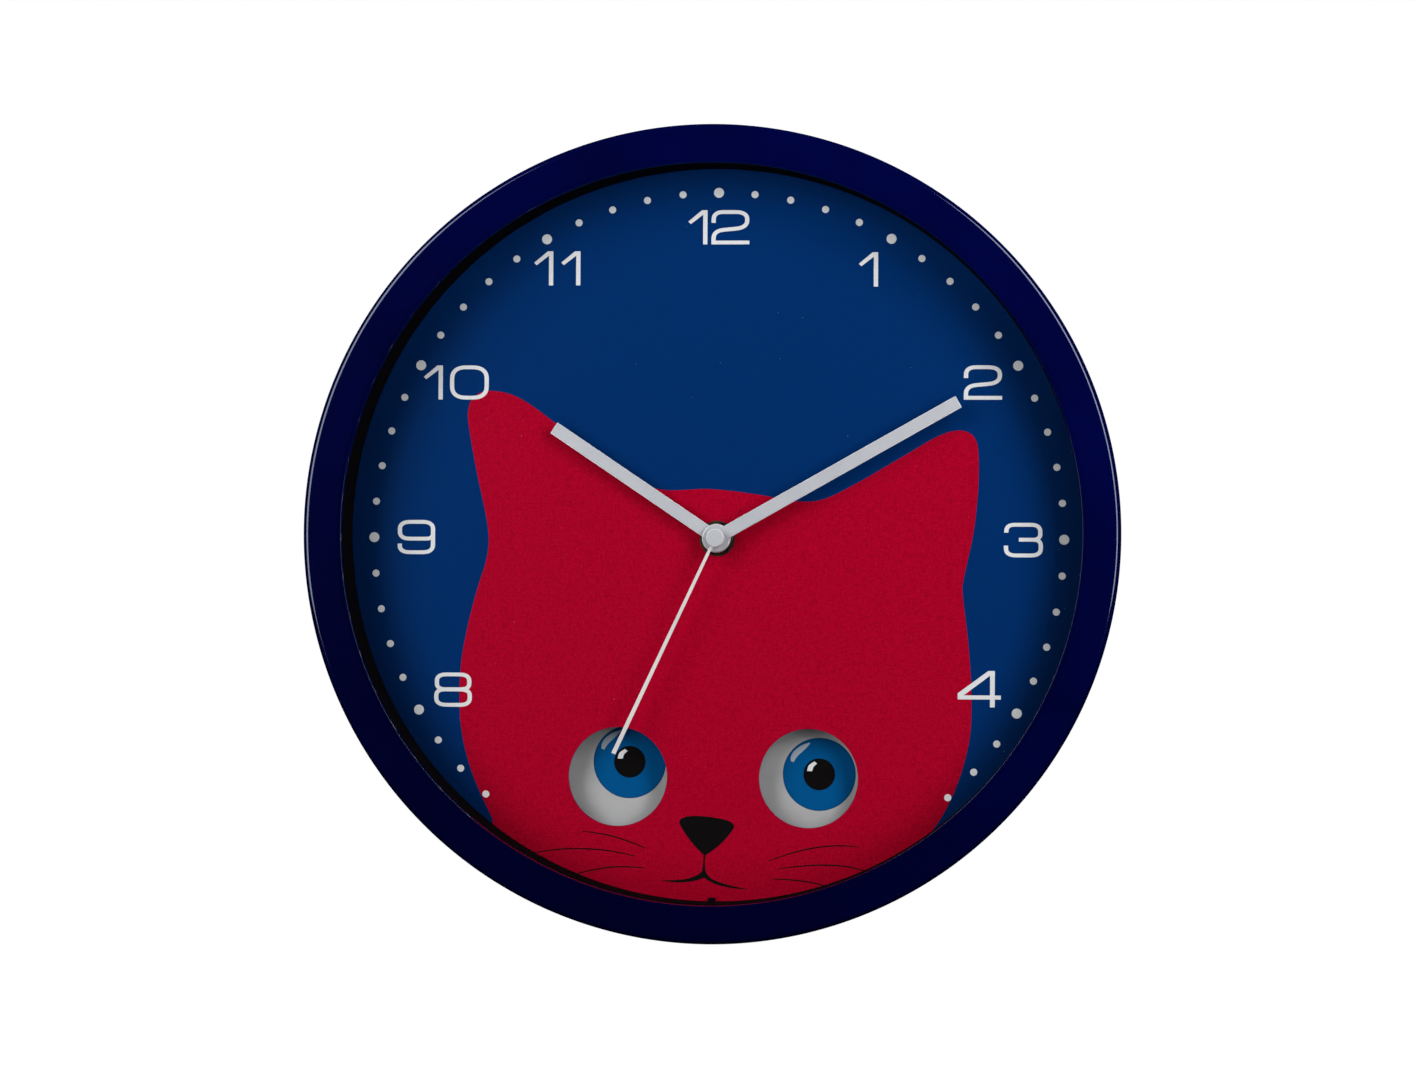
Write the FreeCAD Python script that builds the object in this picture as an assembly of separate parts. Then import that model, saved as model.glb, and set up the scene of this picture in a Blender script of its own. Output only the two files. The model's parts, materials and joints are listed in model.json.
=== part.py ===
"""Round quartz wall clock with a cat-face dial and swinging eyes, one solid per piece.

The clock faces -Y, with +X to the right of the viewer and +Z towards 12 o'clock. The
origin is the mouth of the keyhole that it hangs by, in the plane of the back. Pieces are
modelled about their own centre line, the case's or the hands', and moved at the end.
"""
import FreeCAD, Part
import math
import os

V = FreeCAD.Vector
Y_AXIS = V(0, 1, 0)

# Case, millimetres
CASE_R = 150.0            # front edge of the case
BACK_R = 148.6            # back edge, smaller by the mould's draft
DEPTH = 50.0
CORNER_R = 2.0            # rounding of the front outer corner
OPENING_R = 136.0         # inner edge of the front band
SEAT_R = 141.5            # bore that centres the lens, spacer ring and dial
SEAT_WALL = 2.0
LIP_BACK_Y = -46.5
SEAT_BACK_Y = -22.0
WALL_IN_R = 146.4         # inside of the outer wall
PAN_SEAT_R = 146.9
PAN_T = 2.0
SCREWS = 6
SCREW_PCD_R = 144.2
SCREW_HEAD_R = 2.15
KEYHOLE_UP = 105.0        # keyhole above the case's centre
KEYHOLE_R = 4.5
KEYHOLE_SLOT = 4.5
KEYHOLE_RISE = 8.0
RECESS_R = (50.0, 131.0)  # shallow recess in the back, clear of the keyhole
RECESS_T = 0.6
RIB_R = (62.0, 132.5)
RIB_H = 3.5
SUPPORT_R = (136.5, 138.5)    # wall that holds the dial forward
SUPPORT_FOOT = (3.0, 1.2)     # width and thickness of its foot

# Front stack
GASKET_T = 0.4
LENS_T = 2.0
LENS_R = 141.1
DIAL_FRONT_Y = -24.0
DIAL_T = 1.2
DIAL_R = 139.8
DIAL_BACK_Y = DIAL_FRONT_Y + DIAL_T
RING_FRONT_R = 136.3      # spacer ring, at the lens
RING_DIAL_R = 135.7       # spacer ring, at the dial
RING_WALL = 1.2
DIAL_SHIFT = (0.74, -1.37)    # the dial rests low in its seat, and takes the hands with it

# Eyes: openings in the dial and the plate that swings behind them
EYE_HOLES = ((-37.0, -88.2), (33.8, -88.8))
EYE_HOLE_R = 18.3
PIVOT_UP = 35.0
MAGNET_UP = PIVOT_UP + 14.5
STEM_Y = (-21.0, -20.0)       # upper part, in front of the movement
BAND_Y = (-15.0, -14.0)       # lower part, set back so that the openings look deep
JOGGLE_Z = (-36.0, -54.0)     # the slope between them
STEM_HALF_W = 24.0
EYE_BAND_R = (104.0, 150.0)   # from the pivot
EYE_BAND_DEG = (-117.0, -60.5)
EYE_WINDOW = (14.5, 12.5)     # half width and half height of the window round the shaft

# Drive of the eyes, on top of the movement
DRIVE_HALF_X = 20.0
DRIVE_TOP = 57.0
DRIVE_ROUND = 2.5
DRIVE_BACK_Y = -4.6
DRIVE_COVER_T = 1.4
DRIVE_SCREWS = ((-16.0, 52.8), (16.0, 52.8))
LEVER_Y = (-14.0, -12.6)
LEVER_HUB_R = 3.2
SOCKET_HALF = 1.8             # square boss that the eye plate and its clip push on to
PIN_R = 1.0
MAGNET_R = 3.6
MAGNET_Y = (-13.1, -11.2)
SPOOL_R = 1.5

# Movement
MOVE_HALF = 29.0
MOVE_WALL = 1.3
MOVE_FRONT_Y = -18.8
MOVE_INNER_Y = -17.5
MOVE_SPLIT_Y = -9.5
MOVE_BACK_Y = -1.6
COVER_T = 1.5
BOSS_R = 8.0
WASHER_T = 1.0
BUSH_R = 4.0
BUSH_BORE_R = 2.70
BUSH_FRONT_Y = -27.4
HOUR_TUBE_R = (2.62, 1.80)
MINUTE_TUBE_R = (1.72, 0.78)
SECOND_ARBOR_R = 0.70
ARBOR_R = 0.5
PIVOT_HOLE_R = 0.56
STATOR_Y = (-9.6, -8.8)
CORE_X = (-23.3, 2.2)
CORE_Y = (-10.4, -9.6)
CORE_HALF_Z = 1.4
COIL_Z = 23.2
COIL_R = 3.0
CHEEK_X = (-20.4, -2.2)
CHEEK_T = 0.8
BOARD = (6.0, 22.6, 14.2, 26.2)
BOARD_Y = (-6.2, -5.2)
KNOB_R = 7.4
KNOB_Y = (-3.6, -0.9)
KNOB_GRIPS = 24
COVER_SCREWS = ((-25.3, 26.0), (25.3, 26.0), (-25.3, -8.6), (25.3, -8.6))

# Battery and its bay
CELL_R = 7.1
CELL_Y, CELL_Z = -9.2, -19.3
BAY_HALF_X = 26.5
BAY_Z = (-26.5, -12.1)
BAY_FLOOR_Y = -16.6
BAY_WALL = 1.0
CELL_L = 49.0
CELL_X = -25.2            # its flat end
CONTACT_X = 26.1
CONTACT_T = 0.3
CONTACT_Y = (-15.0, -3.2)

# Wheel centres, as (x, z) from the hands' axis
PLAY = 0.05               # added to each centre distance
HUB = (0.0, 0.0)
FIFTH_DEG = 120.0
THIRD_DEG = 20.0
MINUTE_DEG = 180.0

# Hands
HOUR_DEG, MINUTE_HAND_DEG, SECOND_DEG = 304.2, 60.8, 205.4    # clockwise from 12
HOUR_L, MINUTE_L, SECOND_L = 73.0, 102.7, 88.0
HAND_W = 4.8
HAND_T = 0.6
HOUR_Y, MINUTE_Y, SECOND_Y = -28.7, -30.9, -33.0
HOUR_HUB_R, MINUTE_HUB_R, SECOND_HUB_R = 5.3, 5.05, 2.6
SECOND_T = 0.4
SECOND_HALF_W = (0.55, 0.9)   # at the root and at the tip
SOCKET_R = 1.5
CAP_R = 3.35
CAP_Y = (-34.6, -34.2)        # face, and the edge of its chamfer


def polar(angle, radius, centre=HUB):
    turn = math.radians(angle)
    return centre[0] + radius * math.cos(turn), centre[1] + radius * math.sin(turn)


FIFTH = polar(FIFTH_DEG, 10.5 + PLAY)
ROTOR = polar(FIFTH_DEG, 7.5 + PLAY, FIFTH)
THIRD = polar(THIRD_DEG, 11.0 + PLAY)
MINUTE = polar(MINUTE_DEG, 12.0 + PLAY)


def rod(radius, y0, y1, spot=HUB):
    return Part.makeCylinder(radius, y1 - y0, V(spot[0], y0, spot[1]), Y_AXIS)


def tube(outer, inner, y0, y1, spot=HUB):
    return rod(outer, y0, y1, spot).cut(rod(inner, y0 - 1, y1 + 1, spot))


def cone(r0, r1, y0, y1, spot=HUB):
    return Part.makeCone(r0, r1, y1 - y0, V(spot[0], y0, spot[1]), Y_AXIS)


def box(x0, x1, y0, y1, z0, z1):
    return Part.makeBox(x1 - x0, y1 - y0, z1 - z0, V(x0, y0, z0))


def extrude(wire, y0, y1):
    face = Part.Face(wire)
    face.translate(V(0, y0, 0))
    return face.extrude(V(0, y1 - y0, 0))


def slab(outline, y0, y1):
    points = [V(x, 0, z) for x, z in outline]
    return extrude(Part.makePolygon(points + points[:1]), y0, y1)


def rounded(x0, x1, z0, z1, radius, y0, y1):
    """A plate with rounded corners."""
    shape = box(x0, x1, y0, y1, z0, z1)
    edges = [e for e in shape.Edges if abs(e.tangentAt(e.FirstParameter).y) > 0.99]
    return shape.makeFillet(radius, edges)


def turned(section):
    """Revolves a closed (radius, y) section about Y."""
    points = [V(r, y, 0) for r, y in section]
    face = Part.Face(Part.makePolygon(points + points[:1]))
    return face.revolve(V(0, 0, 0), Y_AXIS, 360)


def fused(shapes):
    shape = shapes[0].multiFuse(shapes[1:]) if len(shapes) > 1 else shapes[0]
    return shape.removeSplitter()


def group(shapes):
    return Part.makeCompound(shapes)


def gear(teeth, module, y0, y1, spot, tooth_at):
    """A spur wheel, or a pinion of up to 12 leaves, with one tooth centred at tooth_at."""
    pinion = teeth <= 12
    pitch_r = teeth * module / 2
    root_r = pitch_r - 1.2 * module
    tip_r = pitch_r + 0.8 * module
    root_w, pitch_w, tip_w = (0.17, 0.19, 0.07) if pinion else (0.28, 0.20, 0.09)
    step = 360.0 / teeth
    outline = []
    for index in range(teeth):
        middle = tooth_at + index * step
        sides = ((-root_w, root_r), (-pitch_w, pitch_r), (-tip_w, tip_r))
        for side, radius in sides + tuple((-s, r) for s, r in reversed(sides)):
            outline.append(polar(middle + side * step, radius, spot))
    return slab(outline, y0, y1)


def gap(teeth, angle):
    """The tooth_at that puts a gap at the angle."""
    return angle + 180.0 / teeth


# ---- Case and front stack, about the case's centre

def screw_spots():
    return [polar(30 + index * 360 / SCREWS, SCREW_PCD_R) for index in range(SCREWS)]


def case_ring():
    corner = [(CASE_R - CORNER_R + CORNER_R * math.sin(math.radians(a)),
               -DEPTH + CORNER_R - CORNER_R * math.cos(math.radians(a)))
              for a in (0, 18, 36, 54, 72, 90)]
    lip = [(OPENING_R, -DEPTH + 0.9), (OPENING_R + 0.25, -DEPTH + 0.35), (OPENING_R + 0.8, -DEPTH + 0.15)]
    groove = [(OPENING_R + 1.1, -DEPTH + 0.45), (OPENING_R + 1.5, -DEPTH)]
    inner = [(BACK_R, 0), (PAN_SEAT_R, 0), (PAN_SEAT_R, -PAN_T), (WALL_IN_R, -PAN_T),
             (WALL_IN_R, LIP_BACK_Y + 0.5), (SEAT_R + SEAT_WALL, LIP_BACK_Y + 0.5),
             (SEAT_R + SEAT_WALL, SEAT_BACK_Y), (SEAT_R, SEAT_BACK_Y), (SEAT_R, LIP_BACK_Y),
             (OPENING_R, LIP_BACK_Y)]
    shell = turned(lip + groove + corner + inner)
    bosses = [rod(2.7, SEAT_BACK_Y - 3, -PAN_T, spot) for spot in screw_spots()]
    outside = turned([(BACK_R - 0.2, 1), (CASE_R + 9, 1), (CASE_R + 9, -DEPTH), (CASE_R - 0.2, -DEPTH)])
    shell = fused([shell] + [boss.cut(outside) for boss in bosses])
    return shell.cut([rod(1.0, -16, 1, spot) for spot in screw_spots()])


def lens_gasket():
    return tube(LENS_R, OPENING_R + 1.5, LIP_BACK_Y, LIP_BACK_Y + GASKET_T)


def lens():
    front = LIP_BACK_Y + GASKET_T
    edge = 0.4
    return turned([(0, front), (LENS_R - edge, front), (LENS_R, front + edge),
                   (LENS_R, front + LENS_T - edge), (LENS_R - edge, front + LENS_T), (0, front + LENS_T)])


def spacer_ring():
    """Conical black ring that holds the lens off the dial, with a key at 6 o'clock."""
    front = LIP_BACK_Y + GASKET_T + LENS_T
    back = DIAL_FRONT_Y
    outer = SEAT_R - 0.4
    ring = turned([(RING_FRONT_R, front), (outer, front), (outer, front + RING_WALL),
                   (RING_FRONT_R + RING_WALL, front + RING_WALL),
                   (RING_DIAL_R + RING_WALL, back - RING_WALL), (outer, back - RING_WALL),
                   (outer, back), (RING_DIAL_R, back)])
    key = box(-2.6, 0.0, back - 2.0, back, -RING_DIAL_R - 0.6, -RING_DIAL_R + 1.0)
    return fused([ring, key])


def support_ring():
    """Wall with a foot, between the back pan and the dial."""
    inner, outer = SUPPORT_R
    foot_y = -PAN_T - SUPPORT_FOOT[1]
    return turned([(inner, DIAL_BACK_Y), (outer, DIAL_BACK_Y), (outer, -PAN_T),
                   (inner - SUPPORT_FOOT[0], -PAN_T), (inner - SUPPORT_FOOT[0], foot_y), (inner, foot_y)])


def back_pan():
    """Back moulding: flat plate with ribs and the keyhole."""
    plate = rod(PAN_SEAT_R - 0.1, -PAN_T, 0)
    ribs = []
    for index in range(8):
        rib = box(RIB_R[0], RIB_R[1], -PAN_T - RIB_H, -PAN_T, -0.75, 0.75)
        rib.rotate(V(0, 0, 0), Y_AXIS, 22.5 + 45 * index)
        ribs.append(rib)
    pad = rod(11, -PAN_T - 1, -PAN_T, (0, KEYHOLE_UP + 4))
    edge = MOVE_HALF + 1.5
    x0, z0 = DIAL_SHIFT
    window = rounded(x0 - edge, x0 + edge, z0 - edge, z0 + edge, 4, -PAN_T - 1, 1)
    slot = box(-KEYHOLE_SLOT / 2, KEYHOLE_SLOT / 2, -9, 1, KEYHOLE_UP, KEYHOLE_UP + KEYHOLE_RISE)
    keyhole = [rod(KEYHOLE_R, -9, 1, (0, KEYHOLE_UP)), slot,
               rod(KEYHOLE_SLOT / 2, -9, 1, (0, KEYHOLE_UP + KEYHOLE_RISE))]
    recess = tube(RECESS_R[1], RECESS_R[0], -RECESS_T, 1).cut(rod(15, -2, 2, (0, KEYHOLE_UP + 4)))
    holes = [rod(1.25, -PAN_T - 1, 1, spot) for spot in screw_spots()]
    sinks = [cone(0.9, SCREW_HEAD_R + 0.1, -1.6, 0, spot) for spot in screw_spots()]
    return fused([plate, pad] + ribs).cut([window, recess] + keyhole + holes + sinks)


def pan_screws():
    """Countersunk self-tapping screws, all alike."""
    screws = []
    for spot in screw_spots():
        head = cone(1.0, SCREW_HEAD_R, -1.45, -0.1, spot)
        shank = rod(1.0, -12.0, -1.4, spot)
        slot = box(spot[0] - 3, spot[0] + 3, -0.8, 0, spot[1] - 0.35, spot[1] + 0.35)
        screws.append(fused([head, shank]).cut(slot))
    return group(screws)


# ---- Dial and eyes, about the hands' axis

def dial():
    holes = [rod(EYE_HOLE_R, DIAL_FRONT_Y - 1, DIAL_BACK_Y + 1, spot) for spot in EYE_HOLES]
    shaft = rod(BUSH_R + 0.1, DIAL_FRONT_Y - 1, DIAL_BACK_Y + 1)
    return rod(DIAL_R, DIAL_FRONT_Y, DIAL_BACK_Y).cut(holes + [shaft])


def eye_plate():
    """White plate: a band behind both openings, hung from the pivot by a joggled stem."""
    y0, y1 = STEM_Y
    top, bottom = JOGGLE_Z
    width = STEM_HALF_W
    pivot = (0, PIVOT_UP)
    inner, outer = EYE_BAND_R
    start, end = EYE_BAND_DEG
    middle = (start + end) / 2
    arcs = []
    for radius, a0, a1 in ((outer, start, end), (inner, end, start)):
        ends = [polar(a, radius, pivot) for a in (a0, middle, a1)]
        arcs.append(Part.Arc(*[V(x, 0, z) for x, z in ends]).toShape())
    sides = [Part.makeLine(arcs[i].Vertexes[-1].Point, arcs[1 - i].Vertexes[0].Point) for i in (0, 1)]
    band = extrude(Part.Wire([arcs[0], sides[0], arcs[1], sides[1]]), *BAND_Y)
    stem = slab([(-9, PIVOT_UP), (1 - width, 8), (-width, top), (width, top), (width - 1, 8), (9, PIVOT_UP)],
                y0, y1)
    corners = [V(-width, y, z) for y, z in ((y0, top), (y1, top), (BAND_Y[1], bottom), (BAND_Y[0], bottom))]
    slope = Part.Face(Part.makePolygon(corners + corners[:1])).extrude(V(2 * width, 0, 0))
    neck = slab([(-width, bottom), (-width - 6, PIVOT_UP - inner - 4), (width + 6, PIVOT_UP - inner - 4),
                 (width, bottom)], *BAND_Y)
    head = rod(9, y0, y1, pivot)
    half_w, half_h = EYE_WINDOW
    window = rounded(-half_w, half_w, -half_h, half_h, 6, y0 - 1, y1 + 1)
    half = SOCKET_HALF + 0.05
    socket = box(-half, half, y0 - 1, y1 + 1, PIVOT_UP - half, PIVOT_UP + half)
    return fused([band, neck, slope, stem, head]).cut([window, socket])


def eye_clip():
    """Push-on clip that keeps the plate on the lever's boss."""
    y0, y1 = STEM_Y[0] - 1.1, STEM_Y[0] - 0.1
    half = SOCKET_HALF
    socket = box(-half, half, y0 - 1, y1 + 1, PIVOT_UP - half, PIVOT_UP + half)
    return rod(4.2, y0, y1, (0, PIVOT_UP)).cut(socket)


def pendulum_lever():
    """Lever on the pivot pin: boss for the eye plate, arm up to the magnet."""
    pivot = (0, PIVOT_UP)
    half = SOCKET_HALF
    hub = rod(LEVER_HUB_R, -17.0, -11.0, pivot)
    boss = box(-half, half, -22.3, -17.0, PIVOT_UP - half, PIVOT_UP + half)
    arm = slab([(-3, PIVOT_UP), (3, PIVOT_UP), (2.2, PIVOT_UP + 12), (-2.2, PIVOT_UP + 12)], *LEVER_Y)
    cup = rod(MAGNET_R + 0.8, LEVER_Y[0], -11.6, (0, MAGNET_UP))
    seat = rod(MAGNET_R, MAGNET_Y[0], -11, (0, MAGNET_UP))
    return fused([hub, boss, arm, cup]).cut([seat, rod(PIN_R + 0.06, -20.0, -10, pivot)])


def pendulum_magnet():
    return rod(MAGNET_R, MAGNET_Y[0], MAGNET_Y[1], (0, MAGNET_UP))


def pendulum_pivot():
    return rod(PIN_R, -19.6, -4.0, (0, PIVOT_UP))


def pendulum_housing():
    """Box on top of the movement, open to the back."""
    outer = rounded(-DRIVE_HALF_X, DRIVE_HALF_X, MOVE_HALF, DRIVE_TOP, DRIVE_ROUND,
                    MOVE_FRONT_Y, DRIVE_BACK_Y)
    room = DRIVE_HALF_X - MOVE_WALL
    inner = box(-room, room, MOVE_INNER_Y, 0, MOVE_HALF + MOVE_WALL, DRIVE_TOP - MOVE_WALL)
    opening = rod(4.2, MOVE_FRONT_Y - 1, MOVE_INNER_Y + 1, (0, PIVOT_UP))
    posts = [rod(2.2, MOVE_INNER_Y, DRIVE_BACK_Y, spot) for spot in DRIVE_SCREWS]
    pilots = [rod(0.8, -12, -4, spot) for spot in DRIVE_SCREWS]
    return fused([outer.cut(inner)] + posts).cut([opening] + pilots)


def pendulum_cover():
    """Lid of the drive: it holds the pivot pin and the coil's spool."""
    plate = rounded(-DRIVE_HALF_X, DRIVE_HALF_X, MOVE_HALF, DRIVE_TOP, DRIVE_ROUND,
                    DRIVE_BACK_Y, DRIVE_BACK_Y + DRIVE_COVER_T)
    boss = rod(2.4, -8.0, DRIVE_BACK_Y, (0, PIVOT_UP))
    spool = rod(SPOOL_R, -10.4, DRIVE_BACK_Y, (0, MAGNET_UP))
    holes = [rod(1.1, -5, -3, spot) for spot in DRIVE_SCREWS]
    pin = rod(PIN_R, -9, -4.0, (0, PIVOT_UP))
    return fused([plate, boss, spool]).cut(holes + [pin])


def pendulum_coil():
    return tube(5.6, SPOOL_R + 0.1, -10.2, DRIVE_BACK_Y - 0.1, (0, MAGNET_UP))


def pendulum_screws():
    seat_y = DRIVE_BACK_Y + DRIVE_COVER_T
    return group([fused([rod(0.8, -9.5, seat_y, spot), rod(1.9, seat_y, seat_y + 0.9, spot)])
                  for spot in DRIVE_SCREWS])


# ---- Movement, about the hands' axis

def movement_case():
    """Front half of the movement's box, with the boss that stands behind the dial."""
    outer = rounded(-MOVE_HALF, MOVE_HALF, -MOVE_HALF, MOVE_HALF, 3, MOVE_FRONT_Y, MOVE_SPLIT_Y)
    room = MOVE_HALF - MOVE_WALL
    inner = rounded(-room, room, -room, room, 0.4, MOVE_INNER_Y, 0)
    boss = rod(BOSS_R, DIAL_BACK_Y + WASHER_T, MOVE_FRONT_Y)
    posts = [rod(1.9, MOVE_INNER_Y, MOVE_SPLIT_Y, spot) for spot in COVER_SCREWS]
    bridge_posts = [rod(1.2, MOVE_INNER_Y, -10.9, spot) for spot in ((-20.5, 13.0), (-1.0, 17.6))]
    bearings = [rod(1.6, MOVE_INNER_Y, -17.0, spot) for spot in (THIRD, MINUTE)]
    pivots = [rod(PIVOT_HOLE_R, -18.3, -16, spot) for spot in (THIRD, MINUTE)]
    pilots = [rod(0.75, -16, -9, spot) for spot in COVER_SCREWS]
    bush = [rod(BUSH_R, -30, -10), rod(6.0, -17.7, -16)]
    solid = fused([outer.cut(inner), boss] + posts + bridge_posts + bearings)
    return solid.cut(pivots + pilots + bush)


def threaded_bushing():
    """Brass bush that clamps the movement to the dial; thread crests as fine rings."""
    half = 0.25
    section = [(BUSH_BORE_R, -16.9), (6.0, -16.9), (6.0, -17.7), (BUSH_R, -17.7), (BUSH_R, -22.6)]
    y = -22.6
    while y > BUSH_FRONT_Y + 2 * half:
        section += [(BUSH_R - 0.3, y - half), (BUSH_R, y - 2 * half)]
        y -= 2 * half
    return turned(section + [(BUSH_R - 0.4, BUSH_FRONT_Y), (BUSH_BORE_R, BUSH_FRONT_Y)])


def rubber_washer():
    return tube(BOSS_R, BUSH_R + 0.1, DIAL_BACK_Y, DIAL_BACK_Y + WASHER_T)


def brass_washer():
    return tube(6.6, BUSH_R + 0.1, DIAL_FRONT_Y - 0.4, DIAL_FRONT_Y)


def hand_nut():
    across = 11.0
    y0, y1 = DIAL_FRONT_Y - 2.6, DIAL_FRONT_Y - 0.4
    corners = [polar(60 * index + 10, across / math.sqrt(3)) for index in range(6)]
    bevel = turned([(0, y0), (across / 2, y0), (across / 2 + 1.2, y0 + 0.7), (across / 2 + 1.2, y1), (0, y1)])
    return slab(corners, y0, y1).common(bevel).cut(rod(BUSH_R, -30, -10))


def movement_cover():
    """Rear half: plate, battery bay open to the back, and the well of the setting knob."""
    outer = rounded(-MOVE_HALF, MOVE_HALF, -MOVE_HALF, MOVE_HALF, 3, MOVE_SPLIT_Y, MOVE_BACK_Y)
    room = MOVE_HALF - MOVE_WALL
    inner = rounded(-room, room, -room, room, 2, -20, MOVE_BACK_Y - COVER_T)
    bay = box(-BAY_HALF_X - BAY_WALL, BAY_HALF_X + BAY_WALL, MOVE_INNER_Y, MOVE_BACK_Y,
              BAY_Z[0] - BAY_WALL, BAY_Z[1] + BAY_WALL)
    well = rod(9.2, -5.2, MOVE_BACK_Y, MINUTE)
    posts = [rod(1.9, MOVE_SPLIT_Y, -3.0, spot) for spot in COVER_SCREWS]
    pivots = [rod(1.5, -5.6, -3.0, spot) for spot in (HUB, THIRD, FIFTH, ROTOR)]
    solid = fused([outer.cut(inner), bay, well] + posts + pivots)
    cuts = [box(-BAY_HALF_X, BAY_HALF_X, BAY_FLOOR_Y, 5, BAY_Z[0], BAY_Z[1]),
            rod(8.2, -4.3, 5, MINUTE), rod(1.28, -9, 5, MINUTE)]
    cuts += [rod(1.0, -10, 5, spot) for spot in COVER_SCREWS]
    cuts += [rod(2.1, -2.8, 5, spot) for spot in COVER_SCREWS]
    cuts += [rod(PIVOT_HOLE_R, -6, -3.6, spot) for spot in (THIRD, FIFTH, ROTOR)]
    cuts.append(rod(SECOND_ARBOR_R + 0.06, -6, -3.6))
    return solid.cut(cuts)


def cover_screws():
    screws = []
    for x, z in COVER_SCREWS:
        body = fused([rod(0.75, -15, -2.8, (x, z)), rod(1.9, -2.8, -1.8, (x, z))])
        cross = [box(x - 1.3, x + 1.3, -2.3, 0, z - 0.25, z + 0.25),
                 box(x - 0.25, x + 0.25, -2.3, 0, z - 1.3, z + 1.3)]
        screws.append(body.cut(cross))
    return group(screws)


def train_bridge():
    """Plate on two posts that carries the front pivots of the fifth wheel and the rotor."""
    plate = slab([(-22.2, 11.2), (-22.2, 15), (-15, 18.8), (0.6, 18.8), (0.6, 16.2), (-2.2, 11.5),
                  (-2.2, 6.2), (-8, 6.2), (-15, 11.2)], -10.9, -10.1)
    return plate.cut([rod(PIVOT_HOLE_R, -12, -9, spot) for spot in (FIFTH, ROTOR)])


def rotor():
    pinion = gear(10, 0.25, -7.8, -6.4, ROTOR, gap(10, FIFTH_DEG + 180))
    return fused([rod(ARBOR_R, -10.8, -3.8, ROTOR), rod(0.8, -8.2, -6.4, ROTOR), pinion])


def rotor_magnet():
    return tube(2.5, ARBOR_R, -10.0, -8.2, ROTOR)


def fifth_wheel():
    wheel = gear(50, 0.25, -7.5, -6.7, FIFTH, FIFTH_DEG)
    pinion = gear(10, 0.3, -9.4, -7.9, FIFTH, gap(10, FIFTH_DEG + 180))
    return fused([rod(ARBOR_R, -10.8, -3.8, FIFTH), rod(1.1, -9.4, -6.2, FIFTH), wheel, pinion])


def seconds_wheel():
    wheel = gear(60, 0.3, -9.0, -8.2, HUB, FIFTH_DEG)
    pinion = gear(8, 11 / 34, -10.7, -9.0, HUB, gap(8, THIRD_DEG))
    return fused([rod(SECOND_ARBOR_R, SECOND_Y, -3.8), rod(0.85, -10.7, -7.6), wheel, pinion])


def third_wheel():
    wheel = gear(60, 11 / 34, -10.4, -9.6, THIRD, THIRD_DEG + 180)
    pinion = gear(8, 11 / 36, -12.4, -10.4, THIRD, gap(8, THIRD_DEG + 180))
    return fused([rod(ARBOR_R, -17.9, -3.8, THIRD), rod(0.8, -12.4, -9.2, THIRD), wheel, pinion])


def centre_wheel():
    """Runs on the minute arbor with a slipping grip, so that the hands can be set."""
    wheel = gear(64, 11 / 36, -12.0, -11.2, HUB, THIRD_DEG)
    return wheel.cut(rod(MINUTE_TUBE_R[0] + 0.04, -14, -10))


def minute_arbor():
    outer, inner = MINUTE_TUBE_R
    pinion = gear(12, 0.5, -14.8, -13.0, HUB, gap(12, MINUTE_DEG))
    body = fused([rod(outer, -31.1, -10.95), rod(2.2, -13.0, -12.3), pinion])
    return body.cut(rod(inner, -40, 0))


def minute_wheel():
    wheel = gear(36, 0.5, -14.5, -13.4, MINUTE, MINUTE_DEG + 180)
    pinion = gear(10, 0.48, -16.5, -14.5, MINUTE, gap(10, MINUTE_DEG + 180))
    return fused([rod(ARBOR_R, -17.9, -16.0, MINUTE), rod(1.2, -16.5, -3.3, MINUTE), wheel, pinion])


def setting_knob():
    """Finger-grip knob on the end of the minute wheel's arbor."""
    knob = rod(KNOB_R, KNOB_Y[0], KNOB_Y[1], MINUTE)
    grips = [rod(0.8, -5, 1, polar(360 / KNOB_GRIPS * index, KNOB_R + 0.3, MINUTE))
             for index in range(KNOB_GRIPS)]
    dish = rod(5.2, -1.7, 1, MINUTE)
    bar = box(MINUTE[0] - 5, MINUTE[0] + 5, -1.9, -1.1, -0.9, 0.9)
    return fused([knob.cut(grips + [dish]), bar]).cut(rod(1.2, -9, -3.3, MINUTE))


def hour_wheel():
    outer, inner = HOUR_TUBE_R
    wheel = gear(40, 0.48, -16.3, -15.2, HUB, MINUTE_DEG)
    return fused([rod(outer, -28.9, -15.2), wheel]).cut(rod(inner, -40, 0))


def stator():
    """Flat motor stator: a ring round the rotor and two arms up to the coil's core."""
    x, z = ROTOR
    arms = slab([(-23.5, 18.8), (-23.5, 24.8), (-20.7, 24.8), (-20.7, 19.2), (-13.5, 16.6),
                 (x - 3.5, z - 3.2), (x + 3.5, z - 3.2), (-4.0, 16.6), (-1.1, 19.2), (-1.1, 24.8),
                 (2.4, 24.8), (2.4, 18.4), (-1.6, 14.2), (x + 4.0, z - 4.0), (x - 4.0, z - 4.0),
                 (-15.0, 14.2)], *STATOR_Y)
    ring = rod(4.2, STATOR_Y[0], STATOR_Y[1], ROTOR)
    return fused([arms, ring]).cut(rod(2.9, -12, -6, ROTOR))


def coil_core():
    return box(*CORE_X, *CORE_Y, COIL_Z - CORE_HALF_Z, COIL_Z + CORE_HALF_Z)


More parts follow.
